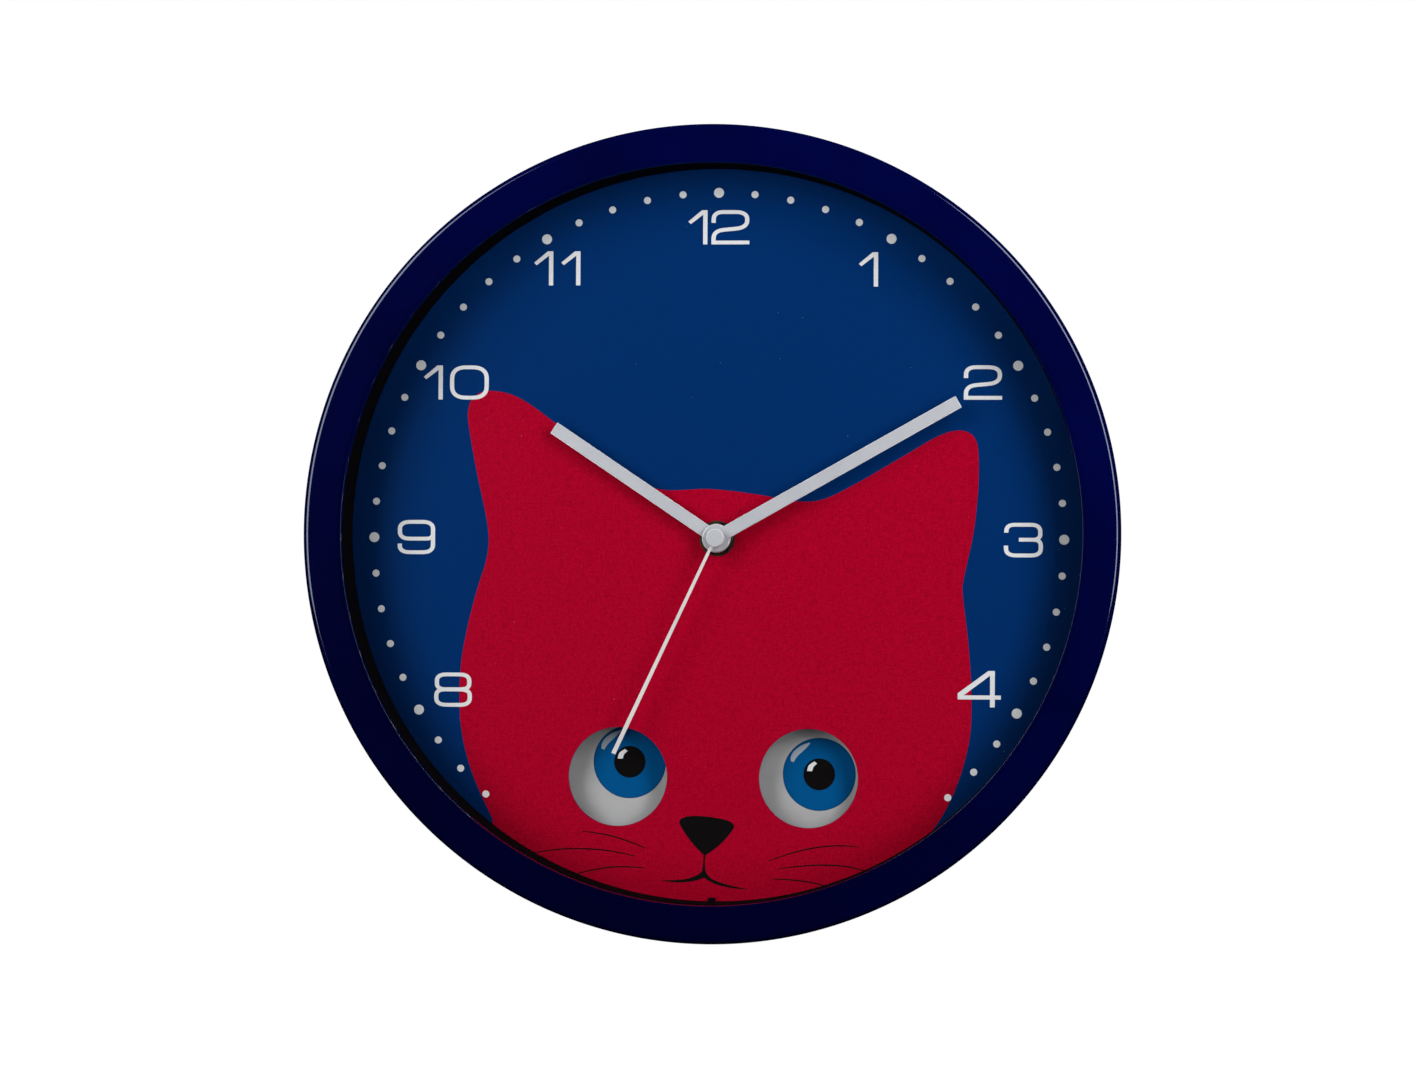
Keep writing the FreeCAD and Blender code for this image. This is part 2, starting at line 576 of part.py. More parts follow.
def motor_coil():
    """Winding between two bobbin cheeks on the core."""
    start, end = CHEEK_X[0] + CHEEK_T, CHEEK_X[1]
    y = sum(CORE_Y) / 2
    edge = COIL_R + 0.3
    winding = Part.makeCylinder(COIL_R, end - start, V(start, y, COIL_Z), V(1, 0, 0))
    cheeks = [box(x, x + CHEEK_T, y - edge, y + edge, COIL_Z - edge, COIL_Z + edge) for x in CHEEK_X]
    bore = box(-30, 10, *CORE_Y, COIL_Z - CORE_HALF_Z, COIL_Z + CORE_HALF_Z)
    return fused([winding.cut(bore)] + [cheek.cut(bore) for cheek in cheeks])


def circuit_board():
    """Board with its chip under a drop of resin, and three solder pads."""
    x0, x1, z0, z1 = BOARD
    face = BOARD_Y[0]
    board = box(x0, x1, *BOARD_Y, z0, z1)
    chip = cone(2.9, 2.3, face - 0.9, face, (17.5, 20.5)).fuse(rod(2.9, face - 0.1, face, (17.5, 20.5)))
    pads = [box(x, x + 1.4, face - 0.15, face, z0 + 0.8, z0 + 2.2) for x in (7.5, 10.5, 13.5)]
    return fused([board, chip] + pads)


def quartz_crystal():
    radius = 1.0
    return Part.makeCylinder(radius, 5.6, V(7.6, BOARD_Y[0] - radius - 0.05, 23.6), V(1, 0, 0))


def positive_contact():
    plate = box(CONTACT_X, CONTACT_X + CONTACT_T, *CONTACT_Y, -24.5, -14.1)
    button = Part.makeCylinder(2.2, 0.4, V(25.75, CELL_Y, CELL_Z), V(1, 0, 0))
    return fused([plate, button])


def negative_contact():
    plate = box(-CONTACT_X - CONTACT_T, -CONTACT_X, *CONTACT_Y, -25.0, -13.6)
    spring = Part.makeCone(4.0, 2.2, 0.7, V(-CONTACT_X, CELL_Y, CELL_Z), V(1, 0, 0))
    return fused([plate, spring])


def battery():
    body = Part.makeCylinder(CELL_R, CELL_L, V(CELL_X, CELL_Y, CELL_Z), V(1, 0, 0))
    body = body.makeFillet(0.5, [e for e in body.Edges if abs(e.Length - 2 * math.pi * CELL_R) < 0.01])
    nub = Part.makeCylinder(2.75, 1.5, V(CELL_X + CELL_L - 0.2, CELL_Y, CELL_Z), V(1, 0, 0))
    return fused([body, nub])


# ---- Hands, drawn at 12 o'clock and turned to the time shown

def turn_hand(shape, degrees):
    shape.rotate(V(0, 0, 0), Y_AXIS, degrees)
    return shape


def flat_hand(length, hub_r, bore_r, y0):
    y1 = y0 + HAND_T
    blade = box(-HAND_W / 2, HAND_W / 2, y0, y1, 0, length)
    return fused([blade, rod(hub_r, y0, y1)]).cut(rod(bore_r, -40, 0))


def hour_hand():
    return turn_hand(flat_hand(HOUR_L, HOUR_HUB_R, HOUR_TUBE_R[0], HOUR_Y), HOUR_DEG)


def minute_hand():
    return turn_hand(flat_hand(MINUTE_L, MINUTE_HUB_R, MINUTE_TUBE_R[0], MINUTE_Y), MINUTE_HAND_DEG)


def second_hand():
    """Tapered needle, wider at the tip, with a socket that grips the seconds arbor."""
    y0, y1 = SECOND_Y, SECOND_Y + SECOND_T
    root, tip = SECOND_HALF_W
    blade = slab([(-root, 0), (-tip, SECOND_L), (tip, SECOND_L), (root, 0)], y0, y1)
    socket = rod(SOCKET_R, y0, y0 + 1.5)
    body = fused([blade, rod(SECOND_HUB_R, y0, y1), socket])
    return turn_hand(body.cut(rod(SECOND_ARBOR_R, y0, 0)), SECOND_DEG)


def second_cap():
    face, edge = CAP_Y
    return turned([(0, face), (CAP_R - 0.45, face), (CAP_R, edge), (CAP_R, SECOND_Y), (0, SECOND_Y)])


CASE_PIECES = (case_ring, lens_gasket, lens, spacer_ring, support_ring, back_pan, pan_screws)
DIAL_PIECES = (
    dial, eye_plate, eye_clip, pendulum_lever, pendulum_magnet, pendulum_pivot, pendulum_housing,
    pendulum_cover, pendulum_coil, pendulum_screws, movement_case, threaded_bushing, rubber_washer,
    brass_washer, hand_nut, movement_cover, cover_screws, train_bridge, rotor, rotor_magnet,
    fifth_wheel, seconds_wheel, third_wheel, centre_wheel, minute_arbor, minute_wheel, setting_knob,
    hour_wheel, stator, coil_core, motor_coil, circuit_board, quartz_crystal, positive_contact,
    negative_contact, battery, hour_hand, minute_hand, second_hand, second_cap)


def main():
    os.makedirs("parts", exist_ok=True)
    case_place = V(0, 0, -KEYHOLE_UP)
    dial_place = case_place + V(DIAL_SHIFT[0], 0, DIAL_SHIFT[1])
    for pieces, place in ((CASE_PIECES, case_place), (DIAL_PIECES, dial_place)):
        for make in pieces:
            shape = make()
            shape.translate(place)
            shape.exportStep("parts/" + make.__name__ + ".step")
            print(make.__name__, len(shape.Solids), "solids,", round(shape.Volume, 1), "mm3",
                  "" if shape.isValid() else "NOT VALID")


main()
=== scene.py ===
import json
import math
import bmesh
import bpy
from mathutils import Matrix, Vector


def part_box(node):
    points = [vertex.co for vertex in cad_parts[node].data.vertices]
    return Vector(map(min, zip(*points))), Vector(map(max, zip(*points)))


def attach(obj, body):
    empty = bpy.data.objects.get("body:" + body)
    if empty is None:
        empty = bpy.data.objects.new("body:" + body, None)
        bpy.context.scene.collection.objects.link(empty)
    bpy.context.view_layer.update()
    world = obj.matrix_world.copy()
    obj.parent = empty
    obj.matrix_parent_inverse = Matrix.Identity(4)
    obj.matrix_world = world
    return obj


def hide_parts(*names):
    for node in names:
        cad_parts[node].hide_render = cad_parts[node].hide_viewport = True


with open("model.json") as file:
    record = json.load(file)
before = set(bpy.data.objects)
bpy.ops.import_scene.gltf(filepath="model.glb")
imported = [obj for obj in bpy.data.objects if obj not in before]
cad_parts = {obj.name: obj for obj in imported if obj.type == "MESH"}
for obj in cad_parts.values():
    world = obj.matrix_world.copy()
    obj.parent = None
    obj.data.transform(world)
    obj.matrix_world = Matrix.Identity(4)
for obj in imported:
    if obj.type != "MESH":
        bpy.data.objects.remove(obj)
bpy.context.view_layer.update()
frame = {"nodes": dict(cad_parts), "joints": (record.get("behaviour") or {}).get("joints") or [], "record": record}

MM = 0.001
RECORD = frame["record"]
JOINTS = {joint["name"]: joint for joint in frame["joints"]}


def low(node):
    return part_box(node)[0] / MM


def high(node):
    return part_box(node)[1] / MM


def middle(node):
    return (low(node) + high(node)) / 2


# Places in millimetres, in the CAD's frame; CASE and HUB are (x, z) of the two centre lines
CASE = (middle("case_ring").x, middle("case_ring").z)
HUB = (JOINTS["second_hand_turn"]["pos_m"][0] / MM, JOINTS["second_hand_turn"]["pos_m"][2] / MM)
FRONT_Y = low("case_ring").y
DIAL_Y = low("dial").y
PRINT_TURN = 0.3               # degrees clockwise that the printed sheet is off true

# ---------------------------------------------------------------- materials


class Look:
    """A material with its Principled node and short calls for procedural detail."""

    def __init__(self, name, color, rough, **sockets):
        self.material = bpy.data.materials.new(name)
        self.material.use_nodes = True
        self.nodes = self.material.node_tree.nodes
        self.links = self.material.node_tree.links
        self.shader = self.nodes["Principled BSDF"]
        self.color = (*color, 1.0)
        self.shader.inputs["Base Color"].default_value = self.color
        self.shader.inputs["Roughness"].default_value = rough
        for socket, value in sockets.items():
            self.shader.inputs[socket.replace("_", " ")].default_value = value
        self.material.diffuse_color = self.color
        self.place = None
        self.relief = None

    def node(self, kind, inputs=None, **settings):
        made = self.nodes.new("ShaderNode" + kind)
        for key, value in settings.items():
            setattr(made, key, value)
        for key, value in (inputs or {}).items():
            if isinstance(value, bpy.types.NodeSocket):
                self.links.new(value, made.inputs[key])
            else:
                made.inputs[key].default_value = value
        return made

    def at(self, stretch=(1, 1, 1)):
        """Object coordinates in millimetres, stretched along the axes."""
        if self.place is None:
            self.place = self.node("TexCoord").outputs["Object"]
        scale = tuple(s / MM for s in stretch)
        return self.node("Mapping", {"Vector": self.place, "Scale": scale}).outputs["Vector"]

    def noise(self, size, detail=3.0, stretch=(1, 1, 1), rough=0.5):
        made = self.node("TexNoise", {"Vector": self.at(stretch), "Scale": 1 / size, "Detail": detail,
                                      "Roughness": rough})
        return made.outputs["Fac"]

    def cells(self, size):
        return self.node("TexVoronoi", {"Vector": self.at(), "Scale": 1 / size}).outputs["Distance"]

    def waves(self, size, direction):
        made = self.node("TexWave", {"Vector": self.at(), "Scale": 0.314 / size}, bands_direction=direction)
        return made.outputs["Fac"]

    def place_in_mm(self):
        """Object X and Z in millimetres."""
        spot = self.node("SeparateXYZ", {"Vector": self.at()})
        return spot.outputs["X"], spot.outputs["Z"]

    def remap(self, value, a, b, c=0.0, d=1.0):
        return self.node("MapRange", {"Value": value, "From Min": a, "From Max": b, "To Min": c,
                                      "To Max": d}).outputs["Result"]

    def maths(self, operation, a, b):
        return self.node("Math", {0: a, 1: b}, operation=operation).outputs["Value"]

    def tint(self, share, other):
        """Mixes another colour over the base colour by a 0 to 1 share."""
        base = self.shader.inputs["Base Color"]
        under = base.links[0].from_socket if base.is_linked else self.color
        mixed = self.node("Mix", {"Factor": share, 6: under, 7: (*other, 1.0)}, data_type="RGBA")
        self.links.new(mixed.outputs[2], base)
        return self

    def gloss(self, share, low_rough, high_rough):
        self.links.new(self.remap(share, 0.0, 1.0, low_rough, high_rough), self.shader.inputs["Roughness"])
        return self

    def bump(self, height, depth):
        """Adds a relief of the given depth in millimetres."""
        values = {"Height": height, "Distance": depth * MM, "Strength": 1.0}
        if self.relief is not None:
            values["Normal"] = self.relief
        self.relief = self.node("Bump", values).outputs["Normal"]
        self.links.new(self.relief, self.shader.inputs["Normal"])
        return self


def moulded(name, color, rough, grain=0.5, relief=0.02, **sockets):
    """Spark-eroded plastic: fine grain, slow mottling, scuffs that are a little glossier."""
    look = Look(name, color, rough, **sockets)
    fine = look.noise(grain, 4.0)
    slow = look.noise(14.0, 2.0)
    scuff = look.noise(3.0, 6.0, rough=0.7)
    lighter = tuple(c * 1.18 for c in color)
    look.tint(look.remap(slow, 0.35, 0.75), lighter)
    look.gloss(scuff, max(rough - 0.10, 0.05), min(rough + 0.12, 1.0))
    return look.bump(fine, relief)


def metal(name, color, rough, stretch=(1, 1, 1), grain=0.25, relief=0.004, **sockets):
    """Metal with drawn or turned marks, and patches of duller skin."""
    look = Look(name, color, rough, Metallic=1.0, **sockets)
    marks = look.noise(grain, 3.0, stretch=stretch)
    dull = look.noise(4.0, 3.0)
    look.tint(look.remap(dull, 0.5, 0.8), tuple(c * 0.62 for c in color))
    look.gloss(marks, max(rough - 0.12, 0.05), rough + 0.16)
    return look.bump(marks, relief)


def navy_case():
    """Glossy moulding, with painted shade that darkens it towards its lower left."""
    look = Look("navy_abs", (0.0002, 0.0011, 0.042), 0.09, Specular_Tint=(0.72, 0.80, 1.0, 1.0))
    slow = look.noise(30.0, 2.0)
    peel = look.noise(2.2, 2.0)
    haze = look.noise(1.1, 5.0, rough=0.65)
    look.tint(look.remap(slow, 0.35, 0.75), (0.0002, 0.0009, 0.031))
    across, up = look.place_in_mm()
    # painted shade: the colour darkens towards the lower left, standing in for dimmer light there
    painted_shade_slope = look.maths("ADD", up, look.maths("MULTIPLY", across, 0.685))
    look.tint(look.remap(painted_shade_slope, 74.0, -280.0, 0.0, 0.70), (0.0001, 0.0003, 0.008))
    look.gloss(haze, 0.06, 0.12)
    return look.bump(peel, 0.002)


SHEET_IOR = 1.45
COATING = 0.55                 # share of the mirror image that the anti-glare coat lets through


def clear_lens():
    """Thin sheet of clear plastic: transparent, with the mirror share of a smooth face."""
    look = Look("clear_sheet", (0.96, 0.98, 0.98), 0.03)
    smear = look.noise(40.0, 4.0, rough=0.6)
    see = look.node("BsdfTransparent", {"Color": (0.993, 0.996, 0.995, 1.0)})
    shine = look.node("BsdfGlossy", {"Color": (1.0, 1.0, 1.0, 1.0),
                                     "Roughness": look.remap(smear, 0.3, 0.8, 0.02, 0.04)})
    # rays go straight through the sheet, so its far face needs the same index as its near one
    far_face = look.node("NewGeometry").outputs["Backfacing"]
    mirror = look.node("Fresnel", {"IOR": look.remap(far_face, 0.0, 1.0, SHEET_IOR, 1 / SHEET_IOR)})
    coated = look.maths("MULTIPLY", mirror.outputs["Fac"], COATING)
    mixed = look.node("MixShader", {0: coated, 1: see.outputs["BSDF"], 2: shine.outputs["BSDF"]})
    look.links.new(mixed.outputs["Shader"], look.nodes["Material Output"].inputs["Surface"])
    return look


def printed(name, color, fleck, rough=0.30, mottle=0.12, painted_rim_shade=0.0):
    """Screen print on a fine woven-grain sheet: dot grain, faint streaks, dust, and painted shade near the rim,
    stronger low down.
    """
    look = Look(name, color, rough, Specular_IOR_Level=0.03)
    grain = look.noise(0.75, 4.0, rough=0.8)
    warp = look.noise(0.8, 2.0, stretch=(1.0, 1.0, 0.28))
    weft = look.noise(0.8, 2.0, stretch=(0.30, 1.0, 1.0))
    lighter = tuple(min(c * (1 + 2.6 * mottle) + fleck, 1.0) for c in color)
    darker = tuple(c * (1 - mottle) for c in color)
    look.tint(look.remap(grain, 0.50, 0.72), lighter)
    look.tint(look.remap(warp, 0.50, 0.70, 0.0, 0.6), darker)
    look.tint(look.remap(weft, 0.50, 0.70, 0.0, 0.6), darker)
    dust = look.cells(9.0)
    look.tint(look.remap(dust, 0.020, 0.012), tuple(c * 0.5 + 0.22 for c in color))
    # painted shade: darker print near the sheet's edge, more so low down, where the rim shades the dial
    across, up = look.place_in_mm()
    across, up = look.maths("SUBTRACT", across, CASE[0]), look.maths("SUBTRACT", up, CASE[1])
    away = look.maths("SQRT", look.maths("ADD", look.maths("MULTIPLY", across, across),
                                         look.maths("MULTIPLY", up, up)), 0.0)
    shade_near_rim = look.remap(away, 117.0, 133.0)
    shade_low_down = look.remap(up, 120.0, 40.0, 0.0, painted_rim_shade)
    look.tint(look.maths("MULTIPLY", shade_near_rim, shade_low_down), tuple(c * 0.05 for c in color))
    look.gloss(grain, rough - 0.06, rough + 0.08)
    return look.bump(grain, 0.010)


def hand_paint():
    """Silver-grey paint, with a painted highlight on its edge faces."""
    look = Look("hand_paint", (0.50, 0.512, 0.548), 0.34, Metallic=0.15)
    flake = look.noise(0.30, 4.0, rough=0.7)
    slow = look.noise(9.0, 2.0)
    look.tint(look.remap(slow, 0.35, 0.75), (0.46, 0.475, 0.515))
    look.tint(look.remap(flake, 0.60, 0.80, 0.0, 0.5), (0.62, 0.63, 0.66))
    # painted highlight: faces that turn away from the hand's flat front are painted brighter
    highlight_facing = look.node("SeparateXYZ", {"Vector": look.node("TexCoord").outputs["Normal"]}).outputs["Y"]
    look.tint(look.remap(look.maths("ABSOLUTE", highlight_facing, 0.0), 0.97, 0.75), (0.80, 0.80, 0.83))
    look.gloss(flake, 0.28, 0.42)
    return look.bump(flake, 0.004)


def winding(name, color, direction):
    look = Look(name, color, 0.30, Metallic=0.85, Coat_Weight=0.5)
    turns = look.waves(0.22, direction)
    # painted shade: the dark bands stand in for shade in the grooves between turns of wire
    look.tint(look.remap(turns, 0.0, 0.35, 1.0, 0.0), tuple(c * 0.25 for c in color))
    look.tint(look.remap(look.noise(2.5), 0.5, 0.8), tuple(c * 0.7 for c in color))
    return look.bump(turns, 0.05)


def circuit_board():
    look = Look("solder_mask", (0.012, 0.10, 0.035), 0.30, Coat_Weight=0.4)
    tracks = look.node("TexBrick", {"Vector": look.at(), "Scale": 0.35, "Mortar Size": 0.03, "Bias": 0.0},
                       offset=0.3)
    look.tint(look.remap(tracks.outputs["Fac"], 0.0, 1.0), (0.03, 0.22, 0.07))
    look.tint(look.remap(look.noise(6.0), 0.5, 0.8), (0.008, 0.07, 0.03))
    return look.bump(tracks.outputs["Fac"], 0.03)


def gear_plastic():
    look = Look("acetal", (0.80, 0.78, 0.70), 0.36, Subsurface_Weight=0.15)
    look.shader.inputs["Subsurface Radius"].default_value = (0.0015, 0.0012, 0.0008)
    flow = look.noise(5.0, 3.0)
    look.tint(look.remap(flow, 0.4, 0.75), (0.66, 0.64, 0.56))
    look.gloss(look.noise(0.8, 4.0), 0.28, 0.46)
    return look.bump(look.noise(0.35, 3.0), 0.01)


def rubber():
    look = Look("rubber", (0.018, 0.018, 0.019), 0.75)
    bloom = look.noise(1.6, 6.0, rough=0.7)
    look.tint(look.remap(bloom, 0.5, 0.85), (0.06, 0.06, 0.058))
    return look.bump(look.noise(0.3, 4.0), 0.03)


def cell_wrap():
    look = Look("cell_wrap", (0.030, 0.115, 0.070), 0.26, Metallic=0.55, Coat_Weight=0.6)
    look.tint(look.remap(look.noise(7.0, 3.0, stretch=(0.2, 1, 1)), 0.4, 0.7), (0.022, 0.085, 0.055))
    look.gloss(look.noise(1.2, 5.0), 0.18, 0.36)
    return look.bump(look.noise(3.0, 2.0), 0.006)


# looks of the record's material slots
LOOKS = {
    "navy_case": navy_case(),
    "clear_lens": clear_lens(),
    "black_plastic": moulded("black_moulding", (0.020, 0.020, 0.022), 0.46, grain=0.6, relief=0.03),
    "rubber": rubber(),
    # the last argument sets how strong the painted shade near the rim is
    "printed_dial": printed("print_blue", (0.0001, 0.0225, 0.114), 0.0002, mottle=0.05, painted_rim_shade=0.42),
    "white_plastic": moulded("white_sheet", (0.355, 0.353, 0.358), 0.45, grain=0.4, relief=0.006),
    "dark_steel": metal("blackened_steel", (0.045, 0.042, 0.038), 0.38, grain=0.3),
    "bronze": metal("dark_bronze", (0.075, 0.052, 0.030), 0.42, grain=0.3),
    "brass": metal("brass", (0.72, 0.53, 0.22), 0.26, stretch=(1, 8, 1)),
    "movement_plastic": moulded("charcoal_moulding", (0.028, 0.028, 0.031), 0.50, grain=0.45, relief=0.035),
    "hand_paint": hand_paint(),
    "gear_plastic": gear_plastic(),
    "knob_plastic": moulded("knob_grey", (0.24, 0.24, 0.225), 0.40, grain=0.6, relief=0.02),
    "steel": metal("zinc_plate", (0.60, 0.60, 0.61), 0.30, grain=0.3),
    "copper": winding("enamelled_copper", (0.72, 0.26, 0.10), "Y"),
    "board": circuit_board(),
    "cell_wrap": cell_wrap(),
}
# looks of single pieces
MATT_BLACK = moulded("matt_black", (0.0022, 0.0019, 0.0030), 0.85, grain=0.6, relief=0.03,
                     Specular_IOR_Level=0.02)
CAN_STEEL = moulded("can_steel", (0.42, 0.42, 0.43), 0.30, grain=0.3, relief=0.003, Metallic=0.35)
NEEDLE = moulded("needle_paint", (0.60, 0.575, 0.57), 0.35, grain=0.3, relief=0.004)
GLINT = printed("print_glint", (0.31, 0.37, 0.42), 0.0, mottle=0.05)
# the last argument sets how strong the painted shade near the rim is
RED = printed("print_red", (0.325, 0.0002, 0.0155), 0.004, mottle=0.25, painted_rim_shade=0.17)
WHITE_INK = printed("print_white", (0.63, 0.635, 0.65), 0.0, mottle=0.05)
BLACK_INK = printed("print_black", (0.0042, 0.0036, 0.0038), 0.0008, mottle=0.2)
IRIS = printed("iris_blue", (0.0002, 0.073, 0.225), 0.002, mottle=0.06)
IRIS_EDGE = printed("iris_edge", (0.0004, 0.044, 0.143), 0.002, mottle=0.06)

# ---------------------------------------------------------------- shape helpers


def add_piece(name, mesh, body, look, sharp=32.0):
    """Puts a finished mesh, in millimetres, in the scene as a piece on a CAD body."""
    mesh.transform(Matrix.Scale(MM, 4))
    work = bmesh.new()
    work.from_mesh(mesh)
    bmesh.ops.remove_doubles(work, verts=work.verts, dist=2e-7)
    bmesh.ops.recalc_face_normals(work, faces=work.faces)
    work.to_mesh(mesh)
    work.free()
    mesh.shade_smooth()
    mesh.set_sharp_from_angle(angle=math.radians(sharp))
    for face in mesh.polygons:
        face.use_smooth = abs(face.normal.y) < 0.9995
    mesh.materials.clear()
    mesh.materials.append(look.material)
    piece = bpy.data.objects.new(name, mesh)
    bpy.context.scene.collection.objects.link(piece)
    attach(piece, body)
    return piece


def mesh_of(name, verts, faces):
    mesh = bpy.data.meshes.new(name)
    mesh.from_pydata(verts, [], faces)
    return mesh


def joined(name, meshes):
    """One mesh from several."""
    work = bmesh.new()
    for mesh in meshes:
        work.from_mesh(mesh)
        bpy.data.meshes.remove(mesh)
    mesh = bpy.data.meshes.new(name)
    work.to_mesh(mesh)
    work.free()
    return mesh


def revolved(name, section, centre, segments=256, axis="Y"):
    """A closed (radius, along) section turned about an axis through centre."""
    verts, rings, faces = [], [], []
    for radius, along in section:
        ring = []
        for k in range(segments if radius > 1e-6 else 1):
            turn = 2 * math.pi * k / segments
            side, up = radius * math.cos(turn), radius * math.sin(turn)
            spot = (centre[0] + side, along, centre[1] + up) if axis == "Y" else \
                (along, centre[0] + side, centre[1] + up)
            ring.append(len(verts))
            verts.append(spot)
        rings.append(ring if len(ring) > 1 else ring * segments)
    for a, b in zip(rings, rings[1:] + rings[:1]):
        for k in range(segments):
            after = (k + 1) % segments
            corners = list(dict.fromkeys((a[k], b[k], b[after], a[after])))
            if len(corners) > 2:
                faces.append(corners)
    return mesh_of(name, verts, faces)


def arc(centre, radius, start, end, steps=8):
    """Points on a round stretch, angles in degrees."""
    turns = [math.radians(start + (end - start) * k / steps) for k in range(steps + 1)]
    return [(centre[0] + radius * math.cos(t), centre[1] + radius * math.sin(t)) for t in turns]


def circle(centre, radius, steps=96):
    return arc(centre, radius, 0, 360 - 360 / steps, steps - 1)


def smooth(points, steps=8, closed=False):
    """A Catmull-Rom curve through the points."""
    if closed:
        spans = [(points[i - 1], points[i], points[(i + 1) % len(points)], points[(i + 2) % len(points)])
                 for i in range(len(points))]
    else:
        padded = [points[0]] + list(points) + [points[-1]]
        spans = [padded[i:i + 4] for i in range(len(points) - 1)]
    out = []
    for p0, p1, p2, p3 in spans:
        for k in range(steps):
            t = k / steps
            out.append(tuple(0.5 * (2 * b + (c - a) * t + (2 * a - 5 * b + 4 * c - d) * t * t
                                    + (3 * b - a - 3 * c + d) * t ** 3)
                             for a, b, c, d in zip(p0, p1, p2, p3)))
    return out if closed else out + [tuple(points[-1])]


def rounded_path(corners, bulge=2.5, steps=8, closed=False):
    """A polyline whose corners are superelliptic. A corner is (x, z, reach before, reach after)."""
    out = []
    count = len(corners)
    for i, (x, z, *reach) in enumerate(corners):
        if not reach:
            out.append((x, z))
            continue
        before, after = corners[i - 1], corners[(i + 1) % count]
        arms = []
        for spot, length in ((before, reach[0]), (after, reach[1])):
            dx, dz = spot[0] - x, spot[1] - z
            size = math.hypot(dx, dz)
            arms.append((dx / size * length, dz / size * length))
        for k in range(steps + 1):
            turn = math.pi / 2 * k / steps
            near = 1 - math.sin(turn) ** (2 / bulge)
            far = 1 - max(math.cos(turn), 0.0) ** (2 / bulge)
            out.append((x + arms[0][0] * near + arms[1][0] * far, z + arms[0][1] * near + arms[1][1] * far))
    return out


def offset_sides(path, widths, closed=False):
    """The two sides of a line drawn along a path, widths giving its full width at each point."""
    left, right = [], []
    count = len(path)
    for i, (x, z) in enumerate(path):
        before = path[i - 1] if closed or i else path[0]
        after = path[(i + 1) % count] if closed or i < count - 1 else path[-1]
        arms = []
        for a, b in ((before, (x, z)), ((x, z), after)):
            dx, dz = b[0] - a[0], b[1] - a[1]
            size = math.hypot(dx, dz)
            if size > 1e-9:
                arms.append((-dz / size, dx / size))
        nx, nz = sum(a[0] for a in arms) / len(arms), sum(a[1] for a in arms) / len(arms)
        length = nx * nx + nz * nz
        half = widths[i] / 2
        left.append((x + nx / length * half, z + nz / length * half))
        right.append((x - nx / length * half, z - nz / length * half))
    return left, right


def drawn_line(path, widths, closed=False):
    """Closed outlines of a line of the given width or widths."""
    if not isinstance(widths, (list, tuple)):
        widths = [widths] * len(path)
    left, right = offset_sides(path, widths, closed)
    return [left, right] if closed else [left + right[::-1]]


def turned(points, degrees):
    """Points turned clockwise about the hub, as seen from the front."""
    c, s = math.cos(math.radians(degrees)), math.sin(math.radians(degrees))
    return [(x * c + z * s, -x * s + z * c) for x, z in points]


def plate(name, loops, front, thick, bevel=0.0, spot=None):
    """Flat mesh cut from closed outlines about the hub; an outline inside another is a hole."""
    curve = bpy.data.curves.new(name, "CURVE")
    curve.dimensions = "2D"
    curve.fill_mode = "BOTH"
    curve.extrude = thick / 2 - bevel
    curve.bevel_depth = bevel
    curve.bevel_resolution = 2
    curve.offset = -bevel
    for loop in loops:
        spline = curve.splines.new("POLY")
        spline.points.add(len(loop) - 1)
        for point, (x, z) in zip(spline.points, loop):
            point.co = (x, z, 0.0, 1.0)
        spline.use_cyclic_u = True
    holder = bpy.data.objects.new(name, curve)
    mesh = bpy.data.meshes.new_from_object(holder)
    bpy.data.objects.remove(holder)
    bpy.data.curves.remove(curve)
    x, z = HUB if spot is None else spot
    place = Matrix(((1, 0, 0, x), (0, 0, -1, front + thick / 2), (0, 1, 0, z), (0, 0, 0, 1)))
    mesh.transform(place)
    return mesh


# ---------------------------------------------------------------- case and front stack

OUTER_R, BACK_R = 150.0, 148.6     # front and back edges
CORNER_R = 2.0
LIP_R = 136.0                  # opening in the front
LIP_BACK_Y = -46.5
SEAT_R, SEAT_WALL = 141.5, 2.0     # bore that centres the lens and the spacer
SEAT_BACK_Y = -22.0
WALL_IN_R = 146.4
PAN_SEAT_R, PAN_T = 146.9, 2.0


def build_rim():
    """Case ring as one section: lip, fine groove, front band, outer wall, and back in to the seat."""
    lip, edge = 0.16, 0.5
    groove_in, groove_out, groove_y = LIP_R + 1.1, LIP_R + 1.35, FRONT_Y + 0.25
    floor_y, wall_mid_r = LIP_BACK_Y + 0.5, 149.4
    section = arc((LIP_R + lip, FRONT_Y + 0.20), lip, 180, 270, 5)
    section += [(groove_in, FRONT_Y), (groove_in, groove_y), (groove_out, groove_y), (groove_out, FRONT_Y)]
    section += [(140.0, FRONT_Y), (144.0, FRONT_Y)]
    section += arc((OUTER_R - CORNER_R, FRONT_Y + CORNER_R), CORNER_R, 270, 360, 20)
    section += [(wall_mid_r, SEAT_BACK_Y)]
    section += arc((BACK_R - edge, -edge), edge, 0, 90, 4)
    section += [(PAN_SEAT_R, 0.0), (PAN_SEAT_R, -PAN_T), (WALL_IN_R, -PAN_T), (WALL_IN_R, floor_y),
                (SEAT_R + SEAT_WALL, floor_y), (SEAT_R + SEAT_WALL, SEAT_BACK_Y), (SEAT_R, SEAT_BACK_Y),
                (SEAT_R, LIP_BACK_Y), (LIP_R, LIP_BACK_Y)]
    rim = add_piece("rim", revolved("rim", section, CASE, 360), "case", LOOKS["navy_case"])
    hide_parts("case_ring")


SHEET_R = 141.1                # lens, and the outside of the spacer


